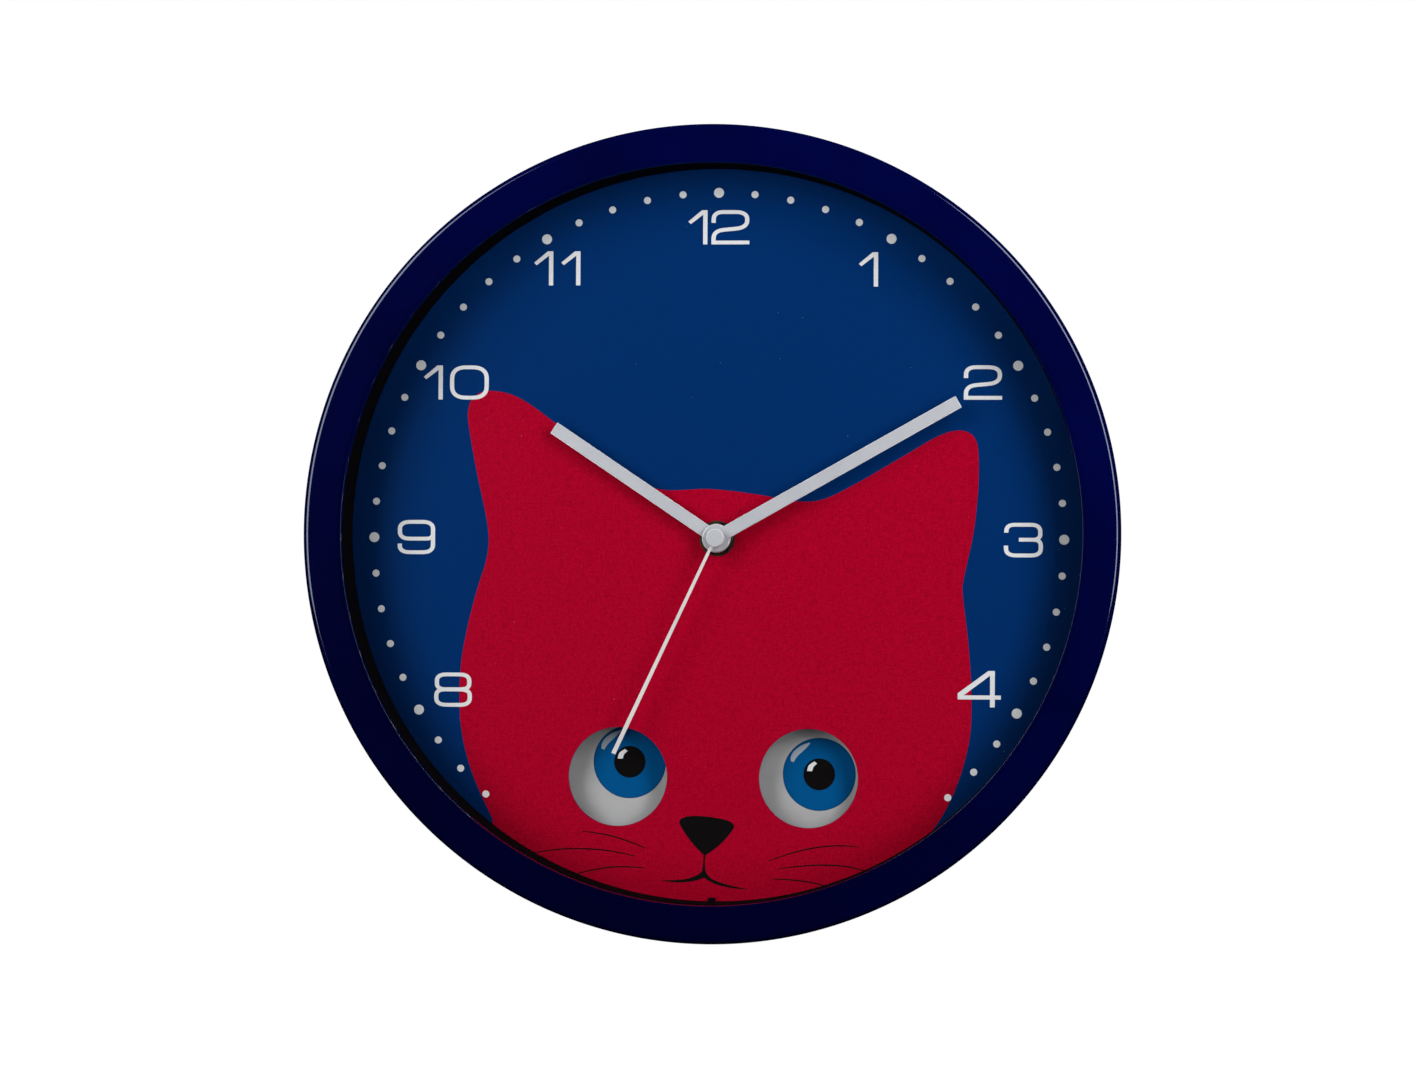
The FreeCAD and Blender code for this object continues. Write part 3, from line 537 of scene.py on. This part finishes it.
def spacer_key(back):
    """Small block on the ring at 6 o'clock, its back face at the given Y."""
    wide, deep, tall = 2.6, 2.0, 2.2
    key = bpy.data.meshes.new("key")
    work = bmesh.new()
    bmesh.ops.create_cube(work, size=1.0)
    bmesh.ops.scale(work, vec=Vector((wide, deep, tall)), verts=work.verts)
    bmesh.ops.bevel(work, geom=work.edges, offset=0.25, segments=3, affect="EDGES")
    spot = (CASE[0] - wide / 2, back - deep / 2, CASE[1] - 135.3)
    bmesh.ops.translate(work, vec=spot, verts=work.verts)
    work.to_mesh(key)
    work.free()
    return key


def build_spacer():
    """Conical ring between the lens and the dial, hollow from outside, with its key."""
    front, back = high("lens").y, DIAL_Y
    wall, edge, front_in, back_in = 1.2, 0.25, 136.0, 135.6
    section = [(SHEET_R, front), (SHEET_R, front + wall), (137.5, front + wall), (136.9, back - wall),
               (SHEET_R, back - wall), (SHEET_R, back), (back_in + edge, back)]
    section += arc((back_in + edge, back - edge), edge, 90, 180, 3)
    section += arc((front_in + edge, front + edge), edge, 180, 270, 3)
    ring = revolved("ring", section, CASE, 360)
    key = spacer_key(back)
    piece = add_piece("spacer", joined("spacer", [ring, key]), "case", MATT_BLACK)
    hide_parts("spacer_ring")


def build_lens():
    front, back, edge = low("lens").y, high("lens").y, 0.4
    pane = plate("lens_sheet", [circle((0, 0), SHEET_R, 360)], front, back - front, edge, CASE)
    lens = add_piece("lens_sheet", pane, "case", LOOKS["clear_lens"])
    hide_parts("lens")


# ---------------------------------------------------------------- dial and its print

DIAL_R = 139.8
EYE_HOLES = ((-37.0, -88.2), (33.8, -88.8))
EYE_HOLE_R = 18.3
BUSH_HOLE_R = 4.1
INK = 0.03                     # thickness of one coat of ink


def build_dial():
    holes = [circle(spot, EYE_HOLE_R) for spot in EYE_HOLES]
    loops = [circle((0, 0), DIAL_R, 360), circle((0, 0), BUSH_HOLE_R, 48)] + holes
    thick = high("dial").y - DIAL_Y
    dial = add_piece("dial_sheet", plate("dial_sheet", loops, DIAL_Y, thick), "case",
                     LOOKS["printed_dial"])
    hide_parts("dial")


# outline of the head, from its lower left corner over both ears to the lower right
HEAD = [(-83.2, -104.6), (-91.2, -86.8), (-95.4, -69.0), (-95.6, -50.0), (-93.4, -35.0), (-89.7, -20.0),
             (-86.2, -8.5), (-85.3, -1.0), (-86.2, 7.5), (-89.9, 24.5), (-92.9, 41.0), (-93.2, 47.5),
             (-91.6, 51.8), (-88.0, 54.2), (-83.0, 54.5), (-76.5, 53.0), (-69.7, 49.3), (-60.7, 42.7),
             (-46.0, 31.4), (-34.0, 23.2), (-20.6, 18.0), (-2.8, 18.3), (15.0, 16.3), (28.4, 14.0),
             (38.5, 14.4), (50.6, 20.0), (68.3, 30.3), (80.0, 37.2), (86.5, 39.8), (91.5, 39.9), (95.0, 37.6),
             (96.5, 32.0), (96.5, 19.0), (94.8, 2.3), (91.3, -14.5), (91.0, -21.0), (93.0, -37.8),
             (94.3, -56.0), (93.8, -72.5), (90.4, -87.0), (84.9, -100.0), (78.5, -109.8)]


def build_face():
    """Red head: one curve over both ears, closed by an arc near the sheet's edge."""
    reach = 139.0
    over = smooth(HEAD, 6)
    start, end = (math.degrees(math.atan2(z, x)) for x, z in (over[-1], over[0]))
    under = arc((0, 0), reach, start - 1.6, end + 1.8 - (0 if end < start else 360), 60)
    loops = [turned(over + under, PRINT_TURN)] + [circle(spot, EYE_HOLE_R + 0.05) for spot in EYE_HOLES]
    loops.append(circle((0, 0), BUSH_HOLE_R + 0.1, 48))
    add_piece("face", plate("face", loops, DIAL_Y - INK, INK), "case", RED)


HEIGHT = 12.7                  # numerals
PEN = 1.40                     # width of a level stroke
WIDEN = 1.12                   # upright strokes are this much wider
ONE_W, ONE_STEM = 7.15, 1.6
MID = 6.5
TOP = HEIGHT - PEN / 2
FOOT = PEN / 2
LEFT, RIGHT = 0.87, 13.35
# drawn strokes of a digit: corners (x, z, reach before, reach after), and whether the stroke is closed
STROKES = {
    "0": [([(LEFT, FOOT, 4.4, 4.9), (13.85, FOOT, 4.9, 4.4), (13.85, TOP, 4.4, 4.9),
            (LEFT, TOP, 4.9, 4.4)], True)],
    "2": [([(LEFT, 8.0), (LEFT, TOP, 2.9, 3.4), (RIGHT, TOP, 4.0, 2.9), (RIGHT, 6.2, 2.8, 4.0),
            (LEFT, 5.05, 3.6, 2.9), (LEFT, FOOT), (14.2, FOOT)], False)],
    "3": [([(LEFT, 9.1), (LEFT, TOP, 2.4, 3.0), (RIGHT, TOP, 3.2, 2.6), (RIGHT, MID, 2.2, 2.6),
            (5.5, MID)], False),
          ([(10.8, MID - 0.05), (13.55, MID - 0.05, 2.2, 2.4), (13.55, FOOT, 2.7, 3.4),
            (0.75, FOOT, 3.4, 2.7), (0.75, 4.3)], False)],
    "8": [([(1.05, MID, 2.2, 3.0), (13.2, MID, 3.0, 2.2), (13.2, TOP, 2.5, 3.4),
            (1.05, TOP, 3.4, 2.5)], True),
          ([(LEFT, FOOT, 2.6, 3.5), (13.4, FOOT, 3.5, 2.6), (13.4, MID - 0.1, 2.3, 3.1),
            (LEFT, MID - 0.1, 3.1, 2.3)], True)],
    "9": [([(LEFT, 5.75, 2.8, 3.3), (13.3, 5.75, 2.4, 2.0), (13.3, TOP, 2.8, 3.6),
            (LEFT, TOP, 3.6, 2.8)], True),
          ([(13.3, 8.6), (13.3, FOOT, 2.9, 3.6), (LEFT, FOOT, 3.6, 2.5), (LEFT, 3.9)], False)],
}
# digits with straight edges only: outer outline, then holes
OUTLINES = {
    "1": [[(0.0, 8.45), (5.1, HEIGHT), (ONE_W, HEIGHT), (ONE_W, 0.0), (ONE_W - ONE_STEM, 0.0),
           (ONE_W - ONE_STEM, 11.05), (0.95, 7.55)]],
    "4": [[(0.1, 2.95), (0.1, 5.15), (11.4, 13.5), (13.75, 13.5), (13.75, 4.45), (16.0, 4.45), (16.0, 2.95),
           (13.75, 2.95), (13.75, 0.1), (12.0, 0.1), (12.0, 2.95)],
          [(2.3, 4.45), (12.0, 4.45), (12.0, 11.75)]],
}
# text, centre of its box, gap between the two digits
NUMERALS = (
    ("12", (0.0, 115.4), 1.5),
    ("1", (55.6, 99.7), 0),
    ("2", (98.1, 57.9), 0),
    ("3", (113.2, -0.2), 0),
    ("4", (97.2, -55.2), 0),
    ("8", (-98.3, -56.6), 0),
    ("9", (-112.4, 0.1), 0),
    ("10", (-97.8, 57.7), 2.7),
    ("11", (-60.2, 100.2), 3.0),
)


def digit_shapes(digit):
    """Groups of outlines of a digit with its lower left corner at 0, 0."""
    if digit in OUTLINES:
        return [OUTLINES[digit]]
    groups = []
    for corners, closed in STROKES[digit]:
        narrow = [(c[0] / WIDEN, c[1], *([c[2], c[3]] if len(c) > 2 else [])) for c in corners]
        loops = drawn_line(rounded_path(narrow, closed=closed), PEN, closed)
        groups.append([[(x * WIDEN, z) for x, z in loop] for loop in loops])
    return groups


def build_numerals():
    for text, (cx, cz), space in NUMERALS:
        shapes = [digit_shapes(digit) for digit in text]
        spans = []
        for groups in shapes:
            every = [p for loops in groups for loop in loops for p in loop]
            spans.append((min(p[0] for p in every), max(p[0] for p in every), max(p[1] for p in every)))
        total = sum(b - a for a, b, _ in spans) + space * (len(text) - 1)
        x = cx - total / 2
        layers = []
        for groups, (a, b, tall) in zip(shapes, spans):
            for depth, loops in enumerate(groups):
                moved = [turned([(px - a + x, pz + cz - tall / 2) for px, pz in loop], PRINT_TURN)
                         for loop in loops]
                layers.append(plate("numeral", moved, DIAL_Y - 2 * INK - 0.006 * depth, INK))
            x += b - a + space
        add_piece("numeral_" + text, joined("numeral", layers), "case", WHITE_INK)


DOT_CIRCLE = 128.2
HOUR_DOT, MINUTE_DOT = 1.85, 1.32
NO_DOTS = range(24, 37)        # minutes covered by the face


def build_dots():
    layers = []
    for minute in range(60):
        if minute in NO_DOTS:
            continue
        angle = math.radians(90 - 6 * minute)
        spot = (DOT_CIRCLE * math.cos(angle), DOT_CIRCLE * math.sin(angle))
        radius = MINUTE_DOT if minute % 5 else HOUR_DOT
        layers.append(plate("dot", [turned(circle(spot, radius, 40), PRINT_TURN)], DIAL_Y - 2 * INK, INK))
    add_piece("minute_track", joined("minute_track", layers), "case", WHITE_INK)


NOSE = [(-13.5, -105.2), (-12.7, -103.8), (-10.2, -102.9), (-5.5, -102.8), (0.8, -103.5), (5.0, -104.6),
        (6.75, -106.1), (5.9, -108.4), (2.0, -112.9), (-2.4, -116.4), (-4.0, -117.2), (-5.5, -116.2),
        (-9.3, -112.1), (-12.4, -107.6)]
MOUTH = ([(-4.5, -116.8), (-4.65, -120.5), (-5.4, -123.6), (-9.0, -125.5), (-13.0, -126.4), (-20.4, -126.7)],
         [(-20.4, -126.8), (-15.0, -127.4), (-11.0, -127.25), (-7.1, -126.6), (-4.3, -125.6)],
         [(-4.2, -125.6), (-1.7, -127.1), (1.6, -128.4), (6.6, -129.35), (12.1, -129.8)],
         [(12.1, -129.7), (4.9, -128.2), (0.6, -126.8), (-2.1, -125.4), (-3.6, -123.2), (-3.95, -120.5),
          (-3.7, -116.8)])
WHISKERS = ([(-49.9, -108.7), (-40.2, -110.1), (-32.7, -112.3), (-25.7, -114.9)],
            [(-67.6, -116.9), (-57.7, -115.5), (-47.2, -115.3), (-37.9, -116.2), (-29.7, -117.9)],
            [(-52.5, -124.7), (-44.2, -122.8), (-35.8, -121.8), (-26.4, -122.1)],
            [(19.8, -119.1), (28.4, -116.1), (37.8, -114.0), (45.9, -113.3), (53.0, -113.7)],
            [(23.4, -122.0), (32.6, -120.9), (40.8, -120.5), (49.3, -121.1), (58.0, -123.2)],
            [(20.9, -125.8), (28.4, -126.1), (35.6, -127.0), (43.5, -128.9)])
WHISKER_W = 0.50


def build_features():
    front = DIAL_Y - 2 * INK
    nose = turned(smooth(NOSE, 8, closed=True), PRINT_TURN)
    add_piece("nose", plate("nose", [nose], front - 0.006, INK), "case", BLACK_INK)
    outline = [p for part in MOUTH for p in smooth(part, 8)]
    mouth = plate("mouth", [turned(outline, PRINT_TURN)], front, INK)
    add_piece("mouth", mouth, "case", BLACK_INK)
    lines = []
    for points in WHISKERS:
        path = smooth(points, 8)
        last = len(path) - 1
        widths = [WHISKER_W * (0.35 + 0.65 * math.sin(math.pi * i / last) ** 0.5) for i in range(last + 1)]
        loops = [turned(loop, PRINT_TURN) for loop in drawn_line(path, widths)]
        lines.append(plate("whisker", loops, front, INK))
    add_piece("whiskers", joined("whiskers", lines), "case", BLACK_INK)


# ---------------------------------------------------------------- eyes on the swinging plate

EYE_SHEET_T = 1.0              # the plate's lower part, the rearmost
IRIS_SPOTS = ((-33.45, -83.0), (37.25, -87.5))
IRIS_R = 13.55
IRIS_EDGE_W = 0.35
PUPIL_R = 5.9
IRIS_GLINT = ([(-10.6, 4.9), (-10.5, 6.7), (-9.2, 8.8), (-6.6, 10.7), (-3.7, 11.8)],
              [(-3.3, 11.5), (-5.3, 9.3), (-8.0, 6.8), (-9.6, 4.5)])
PUPIL_GLINT = ([(-4.5, 1.2), (-3.9, 3.3), (-1.8, 4.8)], [(-0.8, 4.0), (-2.1, 2.8), (-2.65, 1.2)])


def build_eyes():
    front = high("eye_plate").y - EYE_SHEET_T
    for side, spot in zip(("left", "right"), IRIS_SPOTS):
        place = (HUB[0] + spot[0], HUB[1] + spot[1])
        inner = circle((0, 0), IRIS_R - IRIS_EDGE_W)
        ring = plate("ring", [circle((0, 0), IRIS_R), inner], front - INK, INK, spot=place)
        add_piece("iris_edge_" + side, ring, "eyes", IRIS_EDGE)
        iris = plate("iris", [inner], front - INK, INK, spot=place)
        add_piece("iris_" + side, iris, "eyes", IRIS)
        pupil = plate("pupil", [circle((0, 0), PUPIL_R, 64)], front - 2 * INK, INK, spot=place)
        add_piece("pupil_" + side, pupil, "eyes", BLACK_INK)
        for kind, parts, level, ink in (("iris_glint_", IRIS_GLINT, 2, GLINT),
                                        ("pupil_glint_", PUPIL_GLINT, 3, WHITE_INK)):
            outline = [p for part in parts for p in smooth(part, 6)]
            glint = plate("glint", [outline], front - level * INK, INK, spot=place)
            add_piece(kind + side, glint, "eyes", ink)


# ---------------------------------------------------------------- hands

HAND_W = 4.8
HOUR_DEG, MINUTE_DEG, SECOND_DEG = 304.2, 60.8, 205.4
EDGE = 0.28                    # rolled edge of a stamped hand
# name, angle, hub radius, length, hole radius, body
BLADES = (("hour_hand", HOUR_DEG, 5.3, 73.0, 2.62, "hours"),
          ("minute_hand", MINUTE_DEG, 5.05, 102.7, 1.72, "minutes"))


def paddle(radius, half, length, hole):
    """Outline of a hub disc with a straight blade, and the hub's hole."""
    meet = math.degrees(math.asin(half / radius))
    disc = arc((0, 0), radius, 90 + meet, 450 - meet, 60)
    return [disc + [(half, length), (-half, length)], circle((0, 0), hole, 48)]


def build_blades():
    for name, angle, radius, length, hole, body in BLADES:
        loops = [turned(loop, angle) for loop in paddle(radius, HAND_W / 2, length, hole)]
        front, back = low(name).y, high(name).y
        piece = add_piece(name + "_blade", plate(name, loops, front, back - front, EDGE), body,
                          LOOKS["hand_paint"], sharp=50)
        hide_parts(name)


def build_needle():
    """Second hand: a disc with a thin blade that widens outwards, on a short socket."""
    front = low("second_hand").y
    disc_r, hole, length, root, tip, thick = 2.6, 0.72, 88.0, 0.55, 0.8, 0.4
    meet = math.degrees(math.asin(root / disc_r))
    outline = arc((0, 0), disc_r, 90 + meet, 450 - meet, 40) + [(tip, length), (-tip, length)]
    blade = plate("needle", [turned(outline, SECOND_DEG), circle((0, 0), hole, 32)], front, thick, 0.08)
    socket_r, end, chamfer = 1.5, front + 1.5, 0.15
    section = [(hole, front + thick), (socket_r, front + thick), (socket_r, end - chamfer),
               (socket_r - chamfer, end), (hole, end)]
    socket = revolved("socket", section, HUB, 64)
    needle = joined("needle", [blade, socket])
    piece = add_piece("second_hand_needle", needle, "seconds", NEEDLE, sharp=50)
    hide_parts("second_hand")


def build_cap():
    front, back = low("second_cap").y, high("second_cap").y
    radius, edge = 3.35, 0.4
    section = [(0.0, front)] + arc((radius - edge, front + edge), edge, 270, 360, 6)
    section += [(radius, back), (0.0, back)]
    cap = add_piece("second_cap_turned", revolved("cap", section, HUB, 96), "seconds",
                    LOOKS["hand_paint"])
    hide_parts("second_cap")


# ---------------------------------------------------------------- dry cell

def build_cell():
    """The wrap, crimped over both ends, and the steel can with its nub inside it."""
    start, end = low("battery").x, high("battery").x
    spot = (middle("battery").y, middle("battery").z)
    radius = (high("battery").z - low("battery").z) / 2
    crimp, shoulder = 0.45, end - 1.3
    section = arc((radius - crimp, start + crimp), crimp, 270, 360, 5)
    section += arc((radius - crimp, shoulder - crimp), crimp, 0, 90, 5)
    section += [(5.9, shoulder), (5.9, shoulder - 0.6), (5.4, start + 0.6), (5.4, start)]
    wrap = add_piece("cell_sleeve", revolved("sleeve", section, spot, 128, "X"), "cell",
                     LOOKS["cell_wrap"])
    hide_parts("battery")
    section = [(0.0, start + 0.1), (5.3, start + 0.1), (5.3, shoulder - 0.3), (2.75, shoulder - 0.3)]
    section += arc((2.45, end - 0.3), 0.3, 0, 90, 4) + [(0.0, end)]
    add_piece("cell_can", revolved("can", section, spot, 128, "X"), "cell", CAN_STEEL)


# ---------------------------------------------------------------- what the CAD's own meshes get

def dress_nodes():
    for row in RECORD["subparts"]:
        node = frame["nodes"][row["node"]]
        if node.hide_render:
            continue
        node.data.materials.clear()
        node.data.materials.append(LOOKS[row["material_slot"]].material)


# ---------------------------------------------------------------- stage, lights, camera

CENTRE = Vector((CASE[0], 0.0, CASE[1])) * MM      # metres, as all of the stage


def soft_light(name, offset, aim, width, height, watts, mirrored=True):
    """Rectangular light that the camera doesn't see, placed from the case's centre."""
    lamp = bpy.data.lights.new(name, "AREA")
    lamp.shape = "RECTANGLE"
    lamp.size, lamp.size_y = width, height
    lamp.energy = watts
    holder = bpy.data.objects.new(name, lamp)
    bpy.context.scene.collection.objects.link(holder)
    holder.location = CENTRE + Vector(offset)
    holder.rotation_euler = (aim - holder.location).to_track_quat("-Z", "Y").to_euler()
    holder.visible_camera = False
    holder.visible_glossy = mirrored


def build_floor():
    """Pale disc below the clock that fades out before its edge."""
    drop, reach = 0.52, 4.0
    mesh = bpy.data.meshes.new("floor")
    work = bmesh.new()
    bmesh.ops.create_circle(work, cap_ends=True, segments=96, radius=reach)
    bmesh.ops.translate(work, vec=(CENTRE.x, 0, CENTRE.z - drop), verts=work.verts)
    work.to_mesh(mesh)
    work.free()
    floor = bpy.data.objects.new("floor", mesh)
    bpy.context.scene.collection.objects.link(floor)
    look = Look("pale_floor", (0.55, 0.55, 0.545), 0.6, Emission_Strength=0.42)
    look.shader.inputs["Emission Color"].default_value = (1.0, 1.0, 0.99, 1.0)
    look.tint(look.remap(look.noise(400.0), 0.4, 0.7), (0.53, 0.53, 0.525))
    away = look.node("VectorMath", {0: look.node("TexCoord").outputs["Object"]}, operation="LENGTH")
    fade = look.remap(away.outputs["Value"], 1.2, 3.6, 1.0, 0.0)
    look.links.new(fade, look.shader.inputs["Alpha"])
    mesh.materials.append(look.material)
    floor.visible_glossy = False
    floor.visible_diffuse = False


def build_lights():
    front = CENTRE + Vector((0, -0.02, 0.0))
    soft_light("softbox_left", (-0.46, -0.55, 0.20), front, 0.37, 0.58, 4.75)
    soft_light("softbox_right", (0.40, -0.50, 0.20), front, 0.23, 0.58, 3.78)
    soft_light("fill", (0.10, -1.10, -0.55), front, 0.5, 0.5, 1.5, mirrored=False)
    for side in (-1, 1):
        soft_light(f"rear_{side}", (side * 0.9, 0.8, 0.45), CENTRE, 0.9, 0.9, 20.0, mirrored=False)
    soft_light("top", (0, 1.1, 2.1), CENTRE, 2.0, 2.0, 75.0, mirrored=False)


def build_world():
    """White to the camera, and nearly dark to everything else."""
    world = bpy.data.worlds.new("studio")
    world.use_nodes = True
    bpy.context.scene.world = world
    nodes, links = world.node_tree.nodes, world.node_tree.links
    dim = nodes["Background"]
    dim.inputs["Color"].default_value = (0.9, 0.95, 1.0, 1.0)
    dim.inputs["Strength"].default_value = 0.005
    white = nodes.new("ShaderNodeBackground")
    white.inputs["Color"].default_value = (1, 1, 1, 1)
    seen = nodes.new("ShaderNodeLightPath")
    mixed = nodes.new("ShaderNodeMixShader")
    links.new(seen.outputs["Is Camera Ray"], mixed.inputs[0])
    links.new(dim.outputs[0], mixed.inputs[1])
    links.new(white.outputs[0], mixed.inputs[2])
    links.new(mixed.outputs[0], nodes["World Output"].inputs["Surface"])


def build_camera():
    """Long lens, a little right of the clock and below its centre."""
    front = Vector((CASE[0], FRONT_Y, CASE[1])) * MM
    camera = bpy.data.cameras.new("camera")
    camera.lens = 124.87
    camera.sensor_width = 36.0
    camera.clip_end = 50.0
    holder = bpy.data.objects.new("camera", camera)
    bpy.context.scene.collection.objects.link(holder)
    holder.location = front + Vector((0.155, -1.798, -0.033))
    aim = front + Vector((0.0012, 0.0, -0.0002))
    holder.rotation_euler = (aim - holder.location).to_track_quat("-Z", "Y").to_euler()
    bpy.context.scene.camera = holder
    bpy.context.scene.view_settings.view_transform = "Standard"


build_rim()
build_spacer()
build_lens()
build_dial()
build_face()
build_numerals()
build_dots()
build_features()
build_eyes()
build_blades()
build_needle()
build_cap()
build_cell()
dress_nodes()
build_floor()
build_lights()
build_world()
build_camera()
